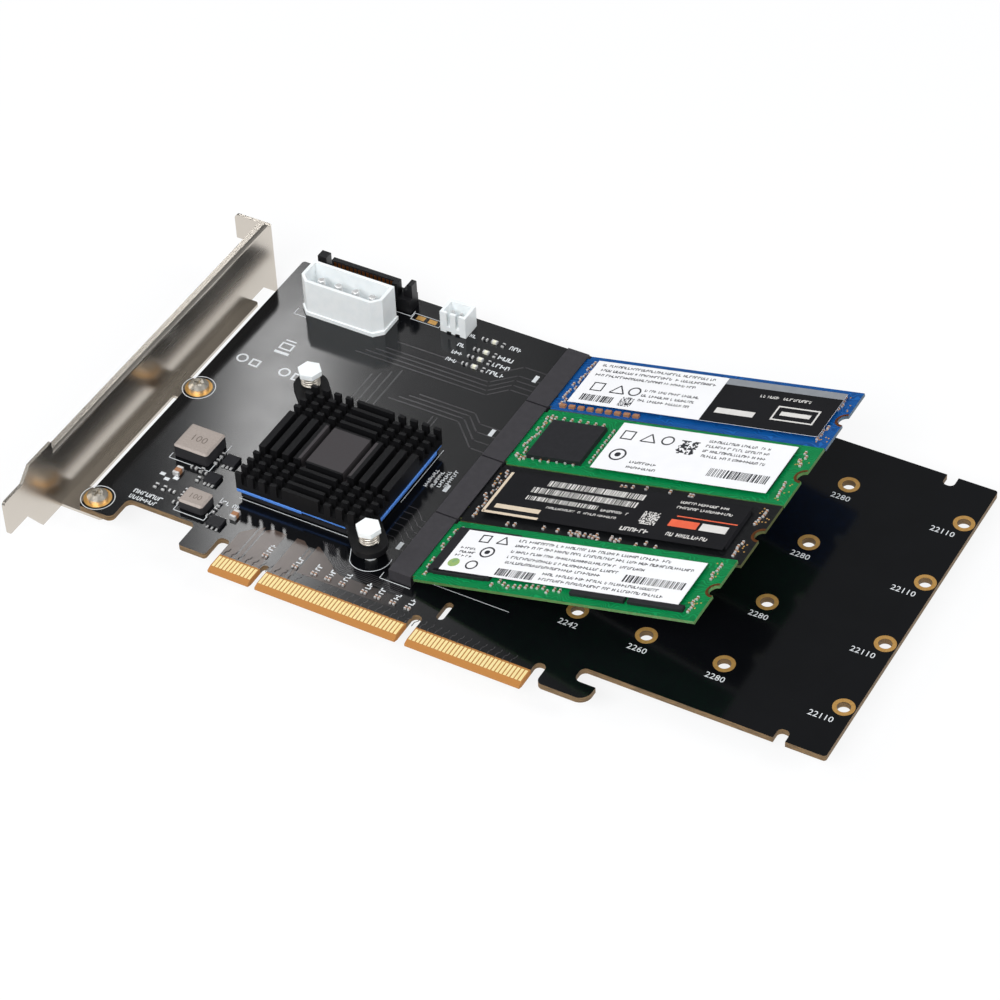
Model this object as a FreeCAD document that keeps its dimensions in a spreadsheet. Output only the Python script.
"""Expansion card that carries four stick drives behind a switch chip, as a parametric FreeCAD document.

Frame: the card lies flat with its component side up. X runs along the card from the
bracket (-X) to the far end (+X), Y from the contact edge to the top edge, Z out of the
component side. The origin is the centre of the key notch, on the tips of the contacts
and level with the component side of the board.
"""
import FreeCAD, Part
import math
import os
import re
import Sketcher
from FreeCAD import Placement, Rotation, Vector

doc = FreeCAD.newDocument("nvme_adapter_card")

# ---------------------------------------------------------------- driving dimensions (mm)
DIMENSIONS = {
    # board outline
    "board_left": -52.0, "board_right": 143.5, "board_top": 109.0, "board_bottom": 11.85,
    "board_thick": 1.6, "corner_radius": 0.8,
    "tab_right": -42.5, "tab_bottom": 4.4,
    "hook_left": -23.0, "hook_bottom": 3.8, "lead_notch_left": -15.3, "lead_notch_top": 10.6,
    "finger_left": -12.15, "finger_right": 72.15, "finger_bevel": 1.3, "bevel_depth": 0.45,
    "key_half": 0.95, "key_top": 7.3, "mid_slot_left": 39.15, "mid_slot_right": 41.85,
    "mid_slot_top": 9.2, "end_slot_top": 8.6, "latch_left": 75.0, "latch_right": 88.0,
    "latch_bottom": 2.65, "latch_top": 7.4, "latch_root": 82.3,
    "low_notch_left": 130.5, "low_notch_top": 15.2, "high_notch_left": 130.2,
    "high_notch_bottom": 105.5, "notch_width": 3.0,
    "oval_x": 45.2, "oval_y": 13.2, "oval_radius": 1.0, "oval_length": 3.0,
    # contacts
    "pad_wide": 0.7, "pad_low": 1.4, "pad_high": 5.05, "pad_pitch": 1.0, "plating": 0.05,
    # bracket
    "plate_face": -57.4, "sheet_thick": 0.86, "plate_low": -2.46, "plate_high": 15.0,
    "tongue_tip": -15.7, "tongue_low": 4.7, "tongue_high": 14.9, "tongue_root": -8.2,
    "end_high": 18.2, "end_rise": -4.6, "end_low": -3.2, "lip_start": 5.2, "lip_end": 101.5,
    "lip_out": 2.5, "flange_reach": 2.8, "flange_start": 4.4, "flange_end": 91.0,
    "tab_reach": 11.8, "tab_wide": 7.8, "ear_fold": 104.5, "ear_low": -8.0, "ear_high": 13.5,
    "ear_out": 11.2, "ear_step": 97.6, "ear_slot_low": 1.4, "ear_slot_wide": 4.4,
    "ear_slot_deep": 6.6,
    "screw_x": -49.3, "screw_low_y": 8.8, "screw_high_y": 54.2, "screw_hole": 1.6,
    "screw_head": 2.6, "screw_head_high": 1.7, "screw_shank": 1.5, "screw_length": 6.0,
    "screw_pad": 3.5,
    # drive rows
    "row_first": 27.5, "row_pitch": 22.5, "seat_x": 31.0, "seat_z": 2.05,
    "hole_short": 72.66, "hole_mid": 90.66, "hole_long": 110.66, "hole_full": 140.66,
    "standoff_hole": 1.6, "ring_outer": 2.65,
    # drives
    "drive_wide": 22.0, "drive_long": 80.0, "drive_thick": 0.8, "tongue_wide": 19.85,
    "drive_shoulder": 4.0, "end_notch": 1.75, "key_offset": -6.1, "key_wide": 1.2, "key_deep": 3.5,
    "label_thick": 0.12, "chip_high": 1.0,
    # sockets
    "socket_back": 28.2, "socket_front": 34.2, "socket_high": 3.3, "socket_long": 22.0,
    "socket_seat": 30.5, "slot_floor": 1.26, "slot_seat_high": 2.2, "slot_mouth_high": 3.02,
    "socket_cheek": 1.0,
    # switch chip and its cooler
    "cooler_x": -0.65, "cooler_y": 42.4, "cooler_wide": 36.6, "cooler_deep": 36.3,
    "cooler_floor": 3.2, "cooler_base": 1.6, "cooler_top": 8.2,
    "fin_wide": 1.75, "fin_pitch_x": 3.3, "rib_wide": 0.95, "fin_pitch_y": 2.74,
    "ear_radius": 4.4, "pin_offset_x": 20.95, "pin_offset_y": 21.1, "pin_hole": 1.6,
    "chip_wide": 35.0, "chip_base_high": 1.2, "lid_wide": 29.0, "lid_high": 2.5,
    "pin_shank": 1.5, "pin_head": 3.15, "pin_head_low": 8.3, "pin_head_high": 9.7,
    "barb_radius": 2.0, "barb_end": 1.1, "barb_low": -3.6,
    "coil_radius": 2.15, "coil_wire": 0.3, "coil_turns": 2.5,
    # drive-type power header
    "power_left": -42.0, "power_right": -18.15, "power_front": 90.9, "power_rear": 99.4,
    "power_high": 11.0, "power_wall": 0.85, "power_floor": 4.0, "power_corner": 2.3,
    "power_pin_x": -37.45, "power_pin_pitch": 5.08, "power_pin": 1.0, "power_pin_top": 9.4,
    "pin_tail": -3.4, "tail_half": 0.6,
    # flat-blade power header
    "blade_left": -39.95, "blade_right": -19.95, "blade_front": 104.4, "blade_thick": 1.3,
    "blade_high": 8.1, "base_left": -44.25, "base_right": -16.2, "base_front": 103.0,
    "base_rear": 107.2, "base_high": 4.0, "post_wide": 2.6, "post_high": 8.0, "prong_wide": 1.4,
    "post_step": 6.2,
    "blade_pad": 0.8, "blade_pitch": 1.2, "blade_margin": 1.0,
    # two-pin fan header
    "fan_left": -6.0, "fan_right": 1.4, "fan_front": 100.7, "fan_rear": 106.4, "fan_high": 6.4,
    "fan_wall": 0.8, "fan_floor": 2.0, "fan_pin": 0.32, "fan_pitch": 2.5, "fan_pin_top": 5.4,
}
sheet = doc.addObject("Spreadsheet::Sheet", "Dims")
for row, (alias, value) in enumerate(DIMENSIONS.items(), start=1):
    sheet.set("A%d" % row, alias)
    sheet.set("B%d" % row, str(value))
    sheet.setAlias("B%d" % row, alias)
doc.recompute()


def dim(alias):
    """The value of a cell of the dimension sheet."""
    return float(getattr(sheet, alias))


def link(text):
    """An expression on the sheet: each alias in the text gets the sheet's name."""
    return re.sub(r"[a-z]\w*", lambda word: "Dims." + word.group() if word.group() in DIMENSIONS
                  else word.group(), str(text))


def value_of(text):
    """The present value of an expression made of aliases, numbers and + - * /."""
    probe.setExpression("Length", link(text) + " + 1000")
    probe.recompute()
    return float(probe.Length) - 1000


probe = doc.addObject("Part::Box", "probe")


def bind(thing, **sizes):
    """Bind properties to expressions; a double underscore in a name stands for a dot."""
    for name, text in sizes.items():
        thing.setExpression(name.replace("__", "."), link(text))
    return thing


# ---------------------------------------------------------------- small builders
def box(name, x, y, z):
    """A Part::Box between two expressions along each axis."""
    item = doc.addObject("Part::Box", name)
    for size, low, high, axis in (("Length", *x, "x"), ("Width", *y, "y"), ("Height", *z, "z")):
        bind(item, **{size: "(%s) - (%s)" % (high, low), "Placement__Base__" + axis: low})
    return item


def cylinder(name, x, y, low, high, radius):
    item = doc.addObject("Part::Cylinder", name)
    bind(item, Radius=radius, Height="(%s) - (%s)" % (high, low),
         Placement__Base__x=x, Placement__Base__y=y, Placement__Base__z=low)
    return item


def cone(name, x, y, low, high, low_radius, high_radius):
    item = doc.addObject("Part::Cone", name)
    bind(item, Radius1=low_radius, Radius2=high_radius, Height="(%s) - (%s)" % (high, low),
         Placement__Base__x=x, Placement__Base__y=y, Placement__Base__z=low)
    return item


def fuse(name, *items):
    item = doc.addObject("Part::MultiFuse", name)
    item.Shapes = list(items)
    item.Refine = True
    return item


def cut(name, base, *tools):
    item = doc.addObject("Part::Cut", name)
    item.Base = base
    item.Tool = tools[0] if len(tools) == 1 else fuse(name + "_tools", *tools)
    return item


def compound(name, items):
    """Separate solids of one kind, kept together as one named piece."""
    item = doc.addObject("Part::Compound", name)
    item.Links = list(items)
    return item


def new_body(name):
    return doc.addObject("PartDesign::Body", name)


def sketch_on(body, name, role, offset, loops, circles=()):
    """A fully dimensioned sketch of straight-sided loops and circles on an origin plane."""
    sketch = body.newObject("Sketcher::SketchObject", name)
    plane = [item for item in body.Origin.OriginFeatures if item.Role == role][0]
    sketch.AttachmentSupport = (plane, [""])
    sketch.MapMode = "FlatFace"
    sketch.setExpression("AttachmentOffset.Base.z", link(offset))
    pending = []

    def place(element, point, texts):
        for kind, axis, text in (("DistanceX", -2, texts[0]), ("DistanceY", -1, texts[1])):
            value = value_of(text)
            if abs(value) < 1e-9:
                sketch.addConstraint(Sketcher.Constraint("PointOnObject", element, point, axis))
            else:
                index = sketch.addConstraint(
                    Sketcher.Constraint(kind, -1, 1, element, point, value))
                pending.append((index, text))

    for loop in loops:
        corners = [Vector(value_of(x), value_of(y), 0) for x, y in loop]
        first = sketch.GeometryCount
        for index, corner in enumerate(corners):
            following = corners[(index + 1) % len(corners)]
            sketch.addGeometry(Part.LineSegment(corner, following), False)
        for index in range(len(corners)):
            following = first + (index + 1) % len(corners)
            sketch.addConstraint(
                Sketcher.Constraint("Coincident", first + index, 2, following, 1))
        for index, texts in enumerate(loop):
            place(first + index, 1, texts)
    for x, y, radius in circles:
        centre = Vector(value_of(x), value_of(y), 0)
        index = sketch.addGeometry(Part.Circle(centre, Vector(0, 0, 1), value_of(radius)), False)
        place(index, 3, (x, y))
        pending.append((sketch.addConstraint(
            Sketcher.Constraint("Radius", index, value_of(radius))), radius))
    for index, text in pending:
        sketch.setExpression("Constraints[%d]" % index, link(text))
    return sketch


def rectangle(x0, x1, y0, y1):
    return [(x0, y0), (x1, y0), (x1, y1), (x0, y1)]


def square_at(x, y, half):
    return rectangle(x + " - " + half, x + " + " + half, y + " - " + half, y + " + " + half)


def octagon_at(x, y, half):
    """Eight-sided hole round a pin, cheap in facets; half is half the distance across flats."""
    near = "%s * 0.4142" % half
    steps = [(half, near), (near, half), ("-" + near, half), ("-" + half, near),
             ("-" + half, "-" + near), ("-" + near, "-" + half), (near, "-" + half),
             (half, "-" + near)]
    return [("%s + (%s)" % (x, dx), "%s + (%s)" % (y, dy)) for dx, dy in steps]


def pad(body, sketch, length, reverse=False):
    feature = body.newObject("PartDesign::Pad", sketch.Name + "_pad")
    feature.Profile = sketch
    feature.Reversed = reverse
    feature.setExpression("Length", link(length))
    body.Tip = feature
    return feature


def pocket(body, sketch, length, reverse=False, both_ways=False):
    """A pocket; it must take material away."""
    doc.recompute()
    before = body.Shape.Volume
    feature = body.newObject("PartDesign::Pocket", sketch.Name + "_pocket")
    feature.Profile = sketch
    feature.Reversed = reverse
    feature.Midplane = both_ways
    feature.setExpression("Length", link(length))
    body.Tip = feature
    doc.recompute()
    if body.Shape.Volume > before - 1e-6:
        raise RuntimeError(sketch.Name + " cuts nothing")
    return feature


def edges_near(shape, direction, points, reach=0.05):
    """Names of the straight edges along a direction whose middle lies near a point.

    A None in a point leaves that coordinate free.
    """
    names = []
    for number, edge in enumerate(shape.Edges, start=1):
        ends = [vertex.Point for vertex in edge.Vertexes]
        if len(ends) != 2 or not isinstance(edge.Curve, (Part.Line, Part.LineSegment)):
            continue
        along = (ends[1] - ends[0]).normalize()
        if abs(along.dot(Vector(*direction))) < 0.999:
            continue
        middle = (ends[0] + ends[1]) * 0.5
        for point in points:
            if all(want is None or abs(want - have) < reach
                   for want, have in zip(point, middle)):
                names.append("Edge%d" % number)
                break
    return names


def round_edges(body, name, radius, direction, points):
    """A PartDesign fillet on the edges that run along a direction through the points."""
    doc.recompute()
    base = body.Tip
    names = edges_near(base.Shape, direction, points)
    if not names:
        raise RuntimeError(name + " finds no edge")
    feature = body.newObject("PartDesign::Fillet", name)
    feature.Base = (base, names)
    feature.setExpression("Radius", link(radius))
    body.Tip = feature
    doc.recompute()
    if "Invalid" in feature.State:
        raise RuntimeError(name + " fails")
    return feature


PIECES = []


def piece(item, label):
    """Name a finished piece; each becomes one file."""
    item.Label = label
    PIECES.append(item)
    return item


# ---------------------------------------------------------------- the board
ROWS = [1, 2, 3, 4]
HOLE_COLUMNS = ["hole_short", "hole_mid", "hole_long", "hole_full"]
PIN_SPOTS = {"left": ("cooler_x - pin_offset_x", "cooler_y + pin_offset_y"),
             "right": ("cooler_x + pin_offset_x", "cooler_y - pin_offset_y")}


def row_y(number):
    return "(row_first + %d * row_pitch)" % (number - 1)


def power_pin_x(index):
    return "power_pin_x + %d * power_pin_pitch" % index


def fan_pin_x(index):
    return "(fan_left + fan_right) / 2 + (%d - 0.5) * fan_pitch" % index


FAN_PIN_Y = "fan_front + 2.6"
POWER_PIN_Y = "(power_front + power_rear) / 2"


def build_board():
    body = new_body("board_body")
    outline = [
        ("board_left", "board_top"), ("board_left", "tab_bottom"),
        ("tab_right", "tab_bottom"), ("tab_right", "board_bottom"),
        ("hook_left", "board_bottom"), ("hook_left", "hook_bottom"),
        ("lead_notch_left", "hook_bottom"), ("lead_notch_left", "lead_notch_top"),
        ("finger_left", "lead_notch_top"), ("finger_left", "0"),
        ("finger_right", "0"), ("finger_right", "end_slot_top"),
        ("latch_left", "end_slot_top"), ("latch_left", "latch_bottom"),
        ("latch_right", "latch_bottom"), ("latch_right", "latch_top"),
        ("latch_root", "latch_top"), ("latch_root", "board_bottom"),
        ("board_right", "board_bottom"), ("board_right", "board_top")]
    pad(body, sketch_on(body, "outline", "XY_Plane", "-board_thick", [outline]), "board_thick")
    cutouts = [
        rectangle("-key_half", "key_half", "-1", "key_top"),
        rectangle("mid_slot_left", "mid_slot_right", "-1", "mid_slot_top"),
        rectangle("low_notch_left", "low_notch_left + notch_width", "board_bottom - 1",
                  "low_notch_top"),
        rectangle("high_notch_left", "high_notch_left + notch_width", "high_notch_bottom",
                  "board_top + 1"),
        rectangle("oval_x - oval_radius", "oval_x + oval_radius", "oval_y - oval_length",
                  "oval_y + oval_length")]
    holes = [(column, row_y(1), "standoff_hole") for column in HOLE_COLUMNS]
    pocket(body, sketch_on(body, "cutouts", "XY_Plane", "0", cutouts), "board_thick")
    pocket(body, sketch_on(body, "standoff_row", "XY_Plane", "0", [], holes), "board_thick")
    rows = body.newObject("PartDesign::LinearPattern", "standoff_rows")
    rows.Originals = [body.Tip]
    rows.Direction = (doc.getObject("standoff_row"), ["V_Axis"])
    rows.Occurrences = len(ROWS)
    rows.setExpression("Length", link("3 * row_pitch"))
    body.Tip = rows
    through = [octagon_at("screw_x", y, "screw_hole") for y in ("screw_low_y", "screw_high_y")]
    through += [octagon_at(x, y, "pin_hole") for x, y in PIN_SPOTS.values()]
    through += [square_at(power_pin_x(index), POWER_PIN_Y, "tail_half") for index in range(4)]
    through += [square_at(fan_pin_x(index), FAN_PIN_Y, "fan_pin") for index in range(2)]
    pocket(body, sketch_on(body, "through_holes", "XY_Plane", "0", through), "board_thick")
    bevel = [[("0", "0"), ("finger_bevel", "0"), ("0", "-bevel_depth")],
             [("0", "-board_thick"), ("finger_bevel", "-board_thick"),
              ("0", "bevel_depth - board_thick")]]
    pocket(body, sketch_on(body, "bevels", "YZ_Plane", "0", bevel), "400", both_ways=True)
    upright = (0, 0, 1)
    round_edges(body, "key_round", "key_half * 0.98", upright,
                [(side * dim("key_half"), dim("key_top"), None) for side in (-1, 1)])
    round_edges(body, "slot_rounds", "1.3", upright,
                [(dim(x), dim(y), None) for x, y in (
                    ("mid_slot_left", "mid_slot_top"), ("mid_slot_right", "mid_slot_top"),
                    ("lead_notch_left", "lead_notch_top"), ("finger_left", "lead_notch_top"),
                    ("finger_right", "end_slot_top"), ("latch_left", "end_slot_top"))]
                + [(dim(left) + side * dim("notch_width"), dim(end), None) for side in (0, 1)
                   for left, end in (("low_notch_left", "low_notch_top"),
                                     ("high_notch_left", "high_notch_bottom"))])
    round_edges(body, "oval_rounds", "oval_radius * 0.98", upright,
                [(dim("oval_x") + a * dim("oval_radius"),
                  dim("oval_y") + b * dim("oval_length"), None)
                 for a in (-1, 1) for b in (-1, 1)])
    round_edges(body, "hook_rounds", "1.6", upright,
                [(dim("latch_left"), dim("latch_bottom"), None),
                 (dim("latch_root"), dim("latch_top"), None),
                 (dim("latch_root"), dim("board_bottom"), None),
                 (dim("hook_left"), dim("board_bottom"), None),
                 (dim("tab_right"), dim("tab_bottom"), None),
                 (dim("tab_right"), dim("board_bottom"), None)])
    round_edges(body, "latch_round", "3", upright,
                [(dim("latch_right"), dim("latch_bottom"), None)])
    round_edges(body, "corner_rounds", "corner_radius", upright,
                [(dim(x), dim(y), None) for x, y in (
                    ("board_left", "board_top"), ("board_left", "tab_bottom"),
                    ("board_right", "board_top"), ("board_right", "board_bottom"),
                    ("hook_left", "hook_bottom"), ("lead_notch_left", "hook_bottom"))])
    return body


def build_contacts():
    """Gold pads on both faces of the contact edge, in three runs between the slots."""
    solids = []
    for first, count in ((-11.5, 11), (1.5, 38), (42.5, 30)):
        for index in range(count):
            x = first + index * dim("pad_pitch") - dim("pad_wide") / 2
            length = dim("pad_high") - dim("pad_low")
            for z in (0.0, -dim("board_thick") - dim("plating")):
                corner = Vector(x, dim("pad_low"), z)
                solids.append(Part.makeBox(dim("pad_wide"), length, dim("plating"), corner))
    item = doc.addObject("Part::Feature", "contact_pads")
    item.Shape = Part.makeCompound(solids)
    return item


def many_sided(name, x, y, low, high, radius, sides=12):
    item = doc.addObject("Part::Prism", name)
    item.Polygon = sides
    bind(item, Circumradius=radius, Height="(%s) - (%s)" % (high, low),
         Placement__Base__x=x, Placement__Base__y=y, Placement__Base__z=low)
    return item


def build_rings():
    """Plated rings round the standoff holes and under the bracket screws."""
    spots = [(column, row_y(number), "ring_outer") for number in ROWS for column in HOLE_COLUMNS]
    spots += [("screw_x", y, "screw_pad") for y in ("screw_low_y", "screw_high_y")]
    rings = []
    for index, (x, y, outer) in enumerate(spots, start=1):
        name = "ring_%d" % index
        rings.append(cut(name, many_sided(name + "_disc", x, y, "0", "plating", outer),
                         many_sided(name + "_bore", x, y, "0", "plating", "standoff_hole * 1.02")))
    return compound("rings", rings)


# ---------------------------------------------------------------- the bracket
def build_bracket():
    body = new_body("bracket_body")
    plate = [
        ("tongue_tip", "tongue_low"), ("tongue_root", "tongue_low"), ("end_low", "plate_low"),
        ("ear_step", "plate_low"), ("ear_step + 5.5", "ear_low"), ("ear_fold", "ear_low"),
        ("ear_fold", "ear_high"), ("ear_fold - 1.4", "ear_high"), ("lip_end + 0.6", "plate_high"),
        ("lip_start - 0.6", "plate_high"),
        ("lip_start - 0.6", "end_high"), ("end_rise", "end_high"), ("tongue_root", "tongue_high"),
        ("tongue_tip", "tongue_high")]
    pad(body, sketch_on(body, "plate", "YZ_Plane", "plate_face - sheet_thick", [plate]),
        "sheet_thick")
    # the ear folds outwards at the top and carries the open slot for the chassis screw
    back = "plate_face - sheet_thick"
    slot_high = "ear_slot_low + ear_slot_wide"
    ear_end = "plate_face - ear_out"
    ear = [("plate_face", "ear_low"), ("plate_face", "ear_high"), (ear_end, "ear_high"),
           (ear_end, slot_high), (ear_end + " + ear_slot_deep", slot_high),
           (ear_end + " + ear_slot_deep", "ear_slot_low"), (ear_end, "ear_slot_low"),
           (ear_end, "ear_low")]
    pad(body, sketch_on(body, "ear", "XZ_Plane", "-ear_fold", [ear]), "sheet_thick")
    # the stiffening lip folds outwards along the component-side edge
    pad(body, sketch_on(body, "lip", "XZ_Plane", "-lip_end",
                        [rectangle("plate_face - lip_out", "plate_face",
                                   "plate_high - sheet_thick", "plate_high")]),
        "lip_end - lip_start")
    # the flange folds inwards along the solder-side edge, with two tabs under the board
    half = "tab_wide / 2"
    flange = [(back, "flange_start"), ("plate_face + tab_reach", "flange_start"),
              ("plate_face + tab_reach", "screw_low_y + " + half),
              ("plate_face + flange_reach", "screw_low_y + " + half),
              ("plate_face + flange_reach", "screw_high_y - " + half),
              ("plate_face + tab_reach", "screw_high_y - " + half),
              ("plate_face + tab_reach", "screw_high_y + " + half),
              ("plate_face + flange_reach", "screw_high_y + " + half),
              ("plate_face + flange_reach", "flange_end"), (back, "flange_end")]
    holes = [octagon_at("screw_x", y, "screw_shank") for y in ("screw_low_y", "screw_high_y")]
    pad(body, sketch_on(body, "flange", "XY_Plane", "plate_low", [flange] + holes),
        "sheet_thick")
    face = dim("plate_face")
    outside = face - dim("sheet_thick")
    round_edges(body, "ear_bend", "1.1", (0, 0, 1), [(face, dim("ear_fold"), None)])
    round_edges(body, "lip_bend", "1.1", (0, 1, 0), [(face, None, dim("plate_high"))])
    round_edges(body, "flange_bend", "0.8", (0, 1, 0), [(outside, None, dim("plate_low"))])
    round_edges(body, "tab_corners", "1", (0, 0, 1),
                [(face + dim("tab_reach"), y, None) for y in (
                    dim("flange_start"), dim("screw_low_y") + dim("tab_wide") / 2,
                    dim("screw_high_y") - dim("tab_wide") / 2,
                    dim("screw_high_y") + dim("tab_wide") / 2)]
                + [(face + dim("flange_reach"), dim("flange_end"), None)])
    ear_x = face - dim("ear_out")
    root = ear_x + dim("ear_slot_deep")
    round_edges(body, "ear_rounds", "2.1", (0, 1, 0),
                [(root, None, dim("ear_slot_low")),
                 (root, None, dim("ear_slot_low") + dim("ear_slot_wide"))])
    round_edges(body, "ear_corners", "1.2", (0, 1, 0),
                [(ear_x, None, dim("ear_low")), (ear_x, None, dim("ear_high"))])
    round_edges(body, "tongue_corners", "1", (1, 0, 0),
                [(None, dim("tongue_tip"), dim("tongue_low")),
                 (None, dim("tongue_tip"), dim("tongue_high"))])
    return body


def build_screw(name, y):
    """Pan head screw with a cross recess, turned up through the board into the bracket tab."""
    body = new_body(name + "_body")
    top = "screw_head_high + plating"
    half = [("0", top), ("screw_head * 0.55", top), ("screw_head", top + " - 0.75"),
            ("screw_head", "plating"), ("screw_shank", "plating"),
            ("screw_shank", "plating - screw_length"), ("0", "plating - screw_length")]
    profile = sketch_on(body, name + "_half", "XZ_Plane", "0", [half])
    turn = body.newObject("PartDesign::Revolution", name + "_turn")
    turn.Profile = profile
    turn.ReferenceAxis = (profile, ["V_Axis"])
    turn.Angle = 360
    body.Tip = turn
    cross = [[("-1.25", "-0.28"), ("-0.28", "-0.28"), ("-0.28", "-1.25"), ("0.28", "-1.25"),
              ("0.28", "-0.28"), ("1.25", "-0.28"), ("1.25", "0.28"), ("0.28", "0.28"),
              ("0.28", "1.25"), ("-0.28", "1.25"), ("-0.28", "0.28"), ("-1.25", "0.28")]]
    pocket(body, sketch_on(body, name + "_cross", "XY_Plane", top, cross), "1.0")
    bind(body, Placement__Base__x="screw_x", Placement__Base__y=y)
    return body


# ---------------------------------------------------------------- switch chip and cooler
def square(side_x, side_y):
    return (("cooler_x - %s / 2" % side_x, "cooler_x + %s / 2" % side_x),
            ("cooler_y - %s / 2" % side_y, "cooler_y + %s / 2" % side_y))


def build_chip():
    base = box("chip_base", *square("chip_wide", "chip_wide"), ("0.3", "0.3 + chip_base_high"))
    balls = box("chip_balls", *square("(chip_wide - 3)", "(chip_wide - 3)"), ("0", "0.3"))
    lid = box("chip_lid", *square("lid_wide", "lid_wide"), ("0.3 + chip_base_high", "lid_high"))
    return fuse("chip", base, balls, lid)


def build_cooler():
    body = new_body("cooler_body")
    left, right = "cooler_x - cooler_wide / 2", "cooler_x + cooler_wide / 2"
    front, rear = "cooler_y - cooler_deep / 2", "cooler_y + cooler_deep / 2"
    pad(body, sketch_on(body, "cooler_block", "XY_Plane", "cooler_floor",
                        [rectangle(left, right, front, rear)]), "cooler_top - cooler_floor")
    # an ear at two opposite corners carries each push pin
    reach = "ear_radius * 0.7071"
    for side, sign in (("left", -1), ("right", 1)):
        x, y = PIN_SPOTS[side]
        corner_x = right if sign > 0 else left
        corner_y = front if sign > 0 else rear
        web = [(corner_x, "%s + %d * 6" % (corner_y, sign)),
               ("%s + %s" % (x, reach), "%s + %s" % (y, reach)),
               ("%s - %s" % (x, reach), "%s - %s" % (y, reach)),
               ("%s - %d * 6" % (corner_x, sign), corner_y)]
        if sign < 0:
            web = [(corner_x, "%s - 6" % corner_y), ("%s + 6" % corner_x, corner_y),
                   ("%s + %s" % (x, reach), "%s + %s" % (y, reach)),
                   ("%s - %s" % (x, reach), "%s - %s" % (y, reach))]
        pad(body, sketch_on(body, "cooler_web_" + side, "XY_Plane", "cooler_floor", [web]),
            "cooler_base")
        pad(body, sketch_on(body, "cooler_ear_" + side, "XY_Plane", "cooler_floor", [],
                            [(x, y, "ear_radius")]), "cooler_base")
        pocket(body, sketch_on(body, "cooler_hole_" + side, "XY_Plane",
                               "cooler_floor + cooler_base", [octagon_at(x, y, "pin_hole")]),
               "cooler_base")
    # four slots each side of the middle, both ways, leave fins, corner pins and a flat top
    slots_x, slots_y = [], []
    for index in range(4):
        near = "%d * fin_pitch_x + fin_wide" % index
        far = "%d * fin_pitch_x" % (index + 1)
        slots_x.append(rectangle("%s + %s" % (left, near), "%s + %s" % (left, far),
                                 front + " - 1", rear + " + 1"))
        slots_x.append(rectangle("%s - (%s)" % (right, far), "%s - (%s)" % (right, near),
                                 front + " - 1", rear + " + 1"))
        near = "%d * fin_pitch_y + rib_wide" % index
        far = "%d * fin_pitch_y" % (index + 1)
        slots_y.append(rectangle(left + " - 1", right + " + 1",
                                 "%s + %s" % (front, near), "%s + %s" % (front, far)))
        slots_y.append(rectangle(left + " - 1", right + " + 1",
                                 "%s - (%s)" % (rear, far), "%s - (%s)" % (rear, near)))
    depth = "cooler_top - cooler_floor - cooler_base"
    pocket(body, sketch_on(body, "cooler_slots_x", "XY_Plane", "cooler_top", slots_x), depth)
    pocket(body, sketch_on(body, "cooler_slots_y", "XY_Plane", "cooler_top", slots_y), depth)
    return body


def build_push_pin(side):
    """Nylon push pin: hexagon head, round shank and a split barb under the board."""
    x, y = PIN_SPOTS[side]
    head = doc.addObject("Part::Prism", "pin_head_" + side)
    head.Polygon = 6
    bind(head, Circumradius="pin_head", Height="pin_head_high - pin_head_low",
         Placement__Base__x=x, Placement__Base__y=y, Placement__Base__z="pin_head_low")
    head.Placement.Rotation = Rotation(Vector(0, 0, 1), 12)
    shank = many_sided("pin_shank_" + side, x, y, "-board_thick", "pin_head_low", "pin_shank")
    barb = cone("pin_barb_" + side, x, y, "barb_low", "-board_thick", "barb_end", "barb_radius")
    whole = fuse("pin_whole_" + side, head, shank, barb)
    split = box("pin_split_" + side, (x + " - 0.35", x + " + 0.35"), (y + " - 3", y + " + 3"),
                ("barb_low - 1", "-0.4"))
    return cut("push_pin_" + side, whole, split)


def build_spring(side):
    """Coil spring of light wire between the cooler's ear and the pin's head."""
    x, y = PIN_SPOTS[side]
    low = "cooler_floor + cooler_base + coil_wire"
    helix = doc.addObject("Part::Helix", "coil_path_" + side)
    bind(helix, Radius="coil_radius", Height="pin_head_low - coil_wire - (%s)" % low,
         Pitch="(pin_head_low - coil_wire - (%s)) / coil_turns" % low,
         Placement__Base__x=x, Placement__Base__y=y, Placement__Base__z=low)
    wire = doc.addObject("Part::RegularPolygon", "coil_section_" + side)
    wire.Polygon = 3
    bind(wire, Circumradius="coil_wire", Placement__Base__x="%s + coil_radius" % x,
         Placement__Base__y=y, Placement__Base__z=low)
    wire.Placement.Rotation = Rotation(Vector(1, 0, 0), 90)
    doc.recompute()
    sweep = doc.addObject("Part::Sweep", "coil_" + side)
    sweep.Sections = [wire]
    sweep.Spine = (helix, ["Edge%d" % (index + 1) for index in range(len(helix.Shape.Edges))])
    sweep.Solid = True
    sweep.Frenet = True
    return sweep


# ---------------------------------------------------------------- headers
def build_power_housing():
    """Upright shroud of the four-way drive power header, with two cut corners."""
    body = new_body("power_body")

    def shape(inset, corner):
        left, right = "power_left + " + inset, "power_right - " + inset
        front, rear = "power_front + " + inset, "power_rear - " + inset
        return [(left + " + " + corner, front), (right + " - " + corner, front),
                (right, front + " + " + corner), (right, rear), (left, rear),
                (left, front + " + " + corner)]
    pad(body, sketch_on(body, "power_outer", "XY_Plane", "0", [shape("0", "power_corner")]),
        "power_high")
    pad(body, sketch_on(body, "power_foot", "XY_Plane", "0", [shape("-0.3", "power_corner")]),
        "1.1")
    pocket(body, sketch_on(body, "power_cavity", "XY_Plane", "power_high",
                           [shape("power_wall", "1.7")]), "power_high - power_floor")
    holes = [octagon_at(power_pin_x(index), POWER_PIN_Y, "power_pin") for index in range(4)]
    pocket(body, sketch_on(body, "power_holes", "XY_Plane", "power_floor", holes),
           "power_floor")
    return body


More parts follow.
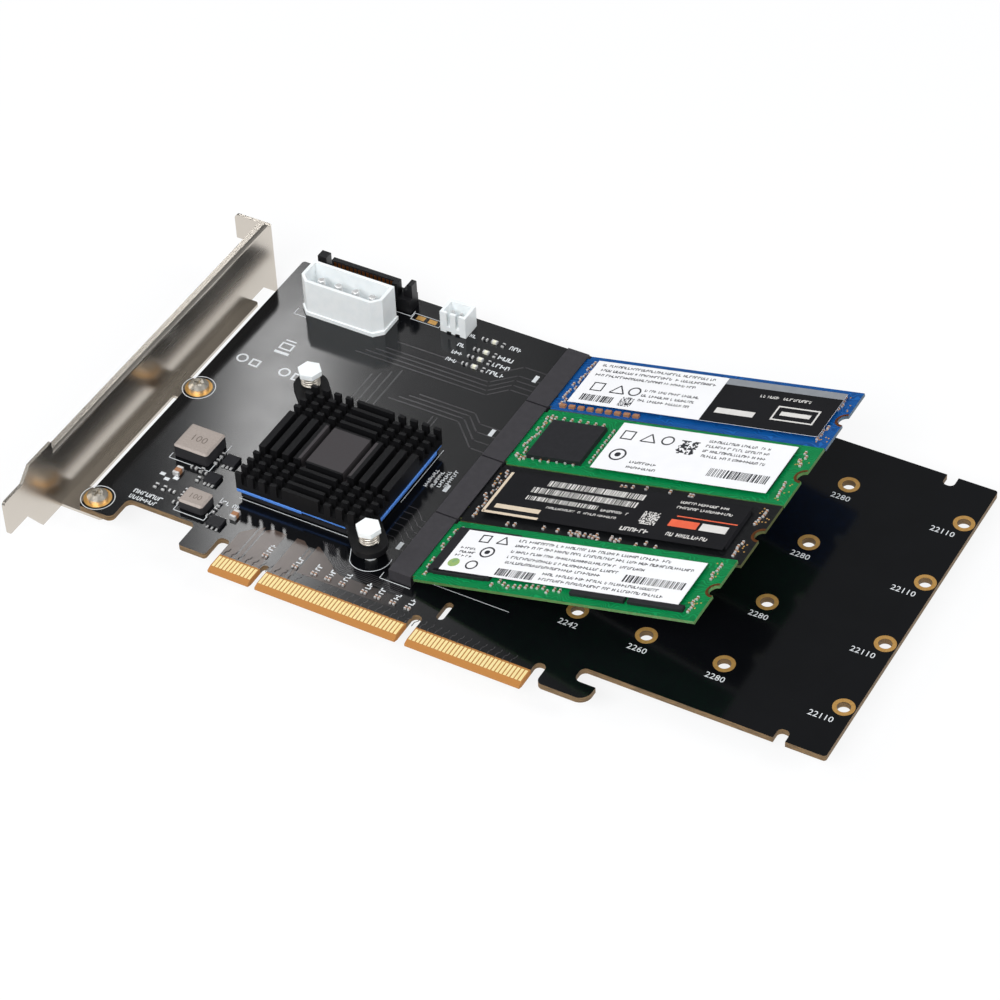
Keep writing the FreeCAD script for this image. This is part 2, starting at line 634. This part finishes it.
def build_power_pins():
    pins = []
    for index in range(4):
        x, name = power_pin_x(index), "power_pin_%d" % (index + 1)
        shank = many_sided(name + "_shank", x, POWER_PIN_Y, "0", "power_pin_top - 0.4",
                           "power_pin")
        tip = many_sided(name + "_tip", x, POWER_PIN_Y, "power_pin_top - 0.4", "power_pin_top",
                         "power_pin * 0.6")
        tail = box(name + "_tail", (x + " - tail_half", x + " + tail_half"),
                   (POWER_PIN_Y + " - tail_half", POWER_PIN_Y + " + tail_half"), ("pin_tail", "0"))
        pins.append(fuse(name, shank, tip, tail))
    return compound("power_pins", pins)


def build_blade_housing():
    base = box("blade_base", ("base_left", "base_right"), ("base_front", "base_rear"),
               ("0", "base_high"))
    deep = ("base_front + 1.4", "base_rear - 0.3")
    left = box("blade_left_post", ("base_left", "base_left + post_wide"), deep,
               ("base_high", "post_high"))
    prong = box("blade_right_prong", ("base_right - prong_wide", "base_right"), deep,
                ("base_high", "post_high"))
    step = box("blade_right_step", ("base_right - post_wide", "base_right"), deep,
               ("base_high", "post_step"))
    blade = box("blade", ("blade_left", "blade_right"),
                ("blade_front", "blade_front + blade_thick"), ("base_high", "blade_high"))
    key = box("blade_key", ("blade_right - 1.4", "blade_right"),
              ("blade_front - 1.1", "blade_front"), ("base_high", "blade_high"))
    return fuse("blade_housing", base, left, prong, step, blade, key)


def build_blade_contacts():
    strips = []
    for index in range(15):
        x = "blade_left + blade_margin + %d * blade_pitch" % index
        strips.append(box("blade_contact_%d" % (index + 1),
                          (x + " - blade_pad / 2", x + " + blade_pad / 2"),
                          ("blade_front - 0.1", "blade_front"), ("base_high", "blade_high - 0.5")))
    return compound("blade_contacts", strips)


def build_fan_housing():
    outer = box("fan_outer", ("fan_left", "fan_right"), ("fan_front", "fan_rear"),
                ("0", "fan_high"))
    cavity = box("fan_cavity", ("fan_left + fan_wall", "fan_right - fan_wall"),
                 ("fan_front + fan_wall", "fan_rear - fan_wall"), ("fan_floor", "fan_high + 1"))
    windows = [box("fan_window_%d" % (index + 1),
                   (fan_pin_x(index) + " - 0.45", fan_pin_x(index) + " + 0.45"),
                   ("fan_front - 1", "fan_front + fan_wall + 0.1"), ("fan_floor", "fan_high + 1"))
               for index in range(2)]
    feet = [box("fan_relief_%d" % (index + 1),
                (fan_pin_x(index) + " - 0.7", fan_pin_x(index) + " + 0.7"),
                ("fan_front - 1", "fan_front + 0.6"), ("-1", "0.6")) for index in range(2)]
    bores = [box("fan_bore_%d" % (index + 1),
                 (fan_pin_x(index) + " - fan_pin", fan_pin_x(index) + " + fan_pin"),
                 (FAN_PIN_Y + " - fan_pin", FAN_PIN_Y + " + fan_pin"), ("-1", "fan_floor + 1"))
             for index in range(2)]
    return cut("fan_housing", outer, cavity, *windows, *feet, *bores)


def build_fan_pins():
    return compound("fan_pins", [
        box("fan_pin_%d" % (index + 1),
            (fan_pin_x(index) + " - fan_pin", fan_pin_x(index) + " + fan_pin"),
            (FAN_PIN_Y + " - fan_pin", FAN_PIN_Y + " + fan_pin"), ("pin_tail", "fan_pin_top"))
        for index in range(2)])


# ---------------------------------------------------------------- drive sockets and drives
def build_socket(number):
    """Edge socket: a throat that flares upwards between two cheeks, so a drive can tip in."""
    body = new_body("socket_body_%d" % number)
    y = row_y(number)
    throat = [("socket_back", "0"), ("socket_front", "0"), ("socket_front", "slot_floor"),
              ("socket_seat", "slot_floor"), ("socket_seat", "slot_seat_high"),
              ("socket_front", "slot_mouth_high"), ("socket_front", "socket_high"),
              ("socket_back", "socket_high")]
    pad(body, sketch_on(body, "throat_%d" % number, "XZ_Plane",
                        "-(%s + socket_long / 2)" % y, [throat]), "socket_long")
    cheek = [("socket_seat", "slot_floor"), ("socket_front", "slot_floor"),
             ("socket_front", "slot_mouth_high"), ("socket_seat", "slot_seat_high")]
    for side, low in (("near", "%s - socket_long / 2" % y),
                      ("far", "%s + socket_long / 2 - socket_cheek" % y)):
        pad(body, sketch_on(body, "cheek_%s_%d" % (side, number), "XZ_Plane",
                            "-(%s + socket_cheek)" % low, [cheek]), "socket_cheek")
    return body


DRIVE_TILTS = {1: 14.75, 2: 13.35, 3: 13.25, 4: 12.95}


def seat_in_row(item, number):
    """Tip a drive's piece up about its seat in the socket of its row."""
    place = Placement(Vector(dim("seat_x"), value_of(row_y(number)), dim("seat_z")),
                      Rotation(Vector(0, 1, 0), -DRIVE_TILTS[number]))
    item.Placement = place.multiply(item.Placement)
    return item


def build_drive_board(number):
    """Drive board, top face at z = 0 and seat edge at x = 0 before it is tipped into its row."""
    body = new_body("drive_board_body_%d" % number)
    half, tongue = "drive_wide / 2", "tongue_wide / 2"
    key_low, key_high = "key_offset - key_wide / 2", "key_offset + key_wide / 2"
    outline = [("0", "-" + tongue), ("drive_shoulder", "-" + tongue), ("drive_shoulder", "-" + half),
               ("drive_long", "-" + half), ("drive_long", half), ("drive_shoulder", half),
               ("drive_shoulder", tongue), ("0", tongue), ("0", key_high),
               ("key_deep", key_high), ("key_deep", key_low), ("0", key_low)]
    pad(body, sketch_on(body, "drive_outline_%d" % number, "XY_Plane", "-drive_thick", [outline]),
        "drive_thick")
    pocket(body, sketch_on(body, "drive_end_%d" % number, "XY_Plane", "0", [],
                           [("drive_long", "0", "end_notch")]), "drive_thick")
    return seat_in_row(body, number)


# Chips of each drive: distance from the seat edge, offset across, length, width.
DRIVE_CHIPS = {
    1: [(6.5, 0, 17.2, 16.2), (26, 0, 9, 13), (41, 0, 14, 12), (58, 0, 14, 12)],
    2: [(9, 0, 14, 14), (27, 0, 9, 13), (42, 0, 14, 13), (60, 0, 14, 13)],
    3: [(31, 0, 9, 13), (43, 0, 14, 14), (60, 0, 14, 14)],
    4: [(9, 0, 14, 12), (27, 0, 9, 13), (42, 0, 14, 14), (60, 0, 14, 14)],
}
# Label of each drive: start and end along the drive, and half its width.
DRIVE_LABELS = {1: (9.5, 74.4, 7.4), 2: (8.0, 74.0, 8.0), 3: (26.9, 74.5, 8.9), 4: (7.8, 76.9, 8.5)}


def build_drive_chips(number):
    chips = [box("drive_%d_chip_%d" % (number, index + 1),
                 (str(start), str(start + long)), (str(across - wide / 2), str(across + wide / 2)),
                 ("0", "chip_high"))
             for index, (start, across, long, wide) in enumerate(DRIVE_CHIPS[number])]
    return seat_in_row(compound("drive_%d_chips" % number, chips), number)


def build_drive_label(number):
    start, end, half = DRIVE_LABELS[number]
    label = box("drive_%d_label" % number, (str(start), str(end)), (str(-half), str(half)),
                ("chip_high", "chip_high + label_thick"))
    sticker = compound("drive_%d_sticker" % number, [label])
    return seat_in_row(sticker, number)


def build_controller():
    """The third drive's bare controller, clear of its label."""
    chip = box("drive_3_controller_box", ("8.2", "23.4"), ("-7.9", "6.2"), ("0", "1.25"))
    return seat_in_row(compound("drive_3_controller_chip", [chip]), 3)


def build_drive_capacitors():
    """Row of ceramic capacitors along the front edge of the fourth drive."""
    parts = []
    for index in range(9):
        x = 6.2 + 2.6 * index
        parts.append(box("drive_4_cap_%d" % (index + 1), (str(x), str(x + 1.6)),
                         ("-10.1", "-9.1"), ("0", "0.7")))
    return seat_in_row(compound("drive_4_caps", parts), 4)


# ---------------------------------------------------------------- parts soldered to the board
def block(name, x, y, long, wide, high, low=0.0):
    return box(name, (str(x - long / 2), str(x + long / 2)), (str(y - wide / 2), str(y + wide / 2)),
               (str(low), str(high)))


def build_inductor(name, x, y, long, wide, high):
    """Moulded power inductor: chamfered block on two wrapped terminals."""
    core = block(name + "_core", x, y, long, wide, high, 0.25)
    doc.recompute()
    eased = doc.addObject("Part::Chamfer", name + "_eased")
    eased.Base = core
    eased.Edges = [(number, 0.5, 0.5) for number, edge in enumerate(core.Shape.Edges, start=1)
                   if edge.BoundBox.ZMin > 0.3 or edge.BoundBox.ZLength > 1]
    feet = [block("%s_foot_%d" % (name, side), x + side * (long / 2 - 0.9), y, 1.8, wide * 0.6,
                  0.25) for side in (-1, 1)]
    return fuse(name, eased, *feet)


def chip_row(name, spots, long, wide, high):
    return compound(name, [block("%s_%d" % (name, index + 1), x, y, long, wide, high)
                           for index, (x, y) in enumerate(spots)])


LED_ROWS = [102.5, 98.05, 95.0, 91.95]

# ---------------------------------------------------------------- assemble the list of pieces
piece(build_board(), "card_board")
piece(build_contacts(), "edge_contacts")
piece(build_rings(), "plated_rings")
piece(build_bracket(), "io_bracket")
piece(build_screw("lower_screw", "screw_low_y"), "bracket_screw_lower")
piece(build_screw("upper_screw", "screw_high_y"), "bracket_screw_upper")
piece(build_chip(), "switch_chip")
piece(box("pad", *square("(cooler_wide - 0.4)", "(cooler_deep - 0.4)"),
          ("lid_high", "cooler_floor")), "thermal_pad")
piece(build_cooler(), "heatsink")
for side in PIN_SPOTS:
    piece(build_push_pin(side), "push_pin_" + side)
    piece(build_spring(side), "pin_spring_" + side)
piece(build_power_housing(), "power_header_housing")
piece(build_power_pins(), "power_header_pins")
piece(build_blade_housing(), "blade_power_housing")
piece(build_blade_contacts(), "blade_power_contacts")
piece(build_fan_housing(), "fan_header_housing")
piece(build_fan_pins(), "fan_header_pins")
for number in ROWS:
    piece(build_socket(number), "drive_socket_%d" % number)
    piece(build_drive_board(number), "drive_board_%d" % number)
    piece(build_drive_chips(number), "drive_memory_%d" % number)
    piece(build_drive_label(number), "drive_label_%d" % number)
piece(build_controller(), "drive_controller_3")
piece(build_drive_capacitors(), "drive_capacitors_4")
piece(build_inductor("choke_large", -36.0, 34.4, 9.8, 9.0, 4.0), "large_inductor")
piece(build_inductor("choke_small", -26.3, 17.4, 6.9, 5.7, 3.0), "small_inductor")
piece(chip_row("big_capacitor", [(-36.6, 25.2), (-15.8, 18.2)], 1.6, 2.6, 1.2),
      "ceramic_capacitors")
piece(chip_row("transistor", [(-26.9, 34.2), (-27.6, 26.8)], 3.6, 3.4, 1.0), "power_transistors")
piece(chip_row("resistor", [(6.0, y) for y in LED_ROWS] + [(20.5, 52.6), (20.5, 50.8), (20.5, 49.0)],
               1.6, 0.8, 0.5), "chip_resistors")
piece(chip_row("led", [(8.8, y) for y in LED_ROWS], 1.6, 0.9, 0.7), "status_leds")
COUPLING = [(x + side * 0.45, 9.9) for x in (-2.1, 6.2, 11.5, 15.3, 19.2, 25.2, 28.9, 33.0, 37.0)
            for side in (-1, 1)]
piece(chip_row("coupler", COUPLING, 0.5, 1.0, 0.5), "coupling_capacitors")

# ---------------------------------------------------------------- check and write
doc.removeObject(probe.Name)
doc.recompute()
for item in doc.Objects:
    if "Invalid" in item.State or "Error" in item.State:
        raise RuntimeError("%s is %s" % (item.Name, item.State))
for item in PIECES:
    shape = item.Shape
    if shape.isNull() or not shape.isValid() or not shape.Solids:
        raise RuntimeError(item.Label + " has no valid solid")
os.makedirs("parts", exist_ok=True)
for item in PIECES:
    item.Shape.exportStep(os.path.join("parts", item.Label + ".step"))
print(len(PIECES), "pieces written")
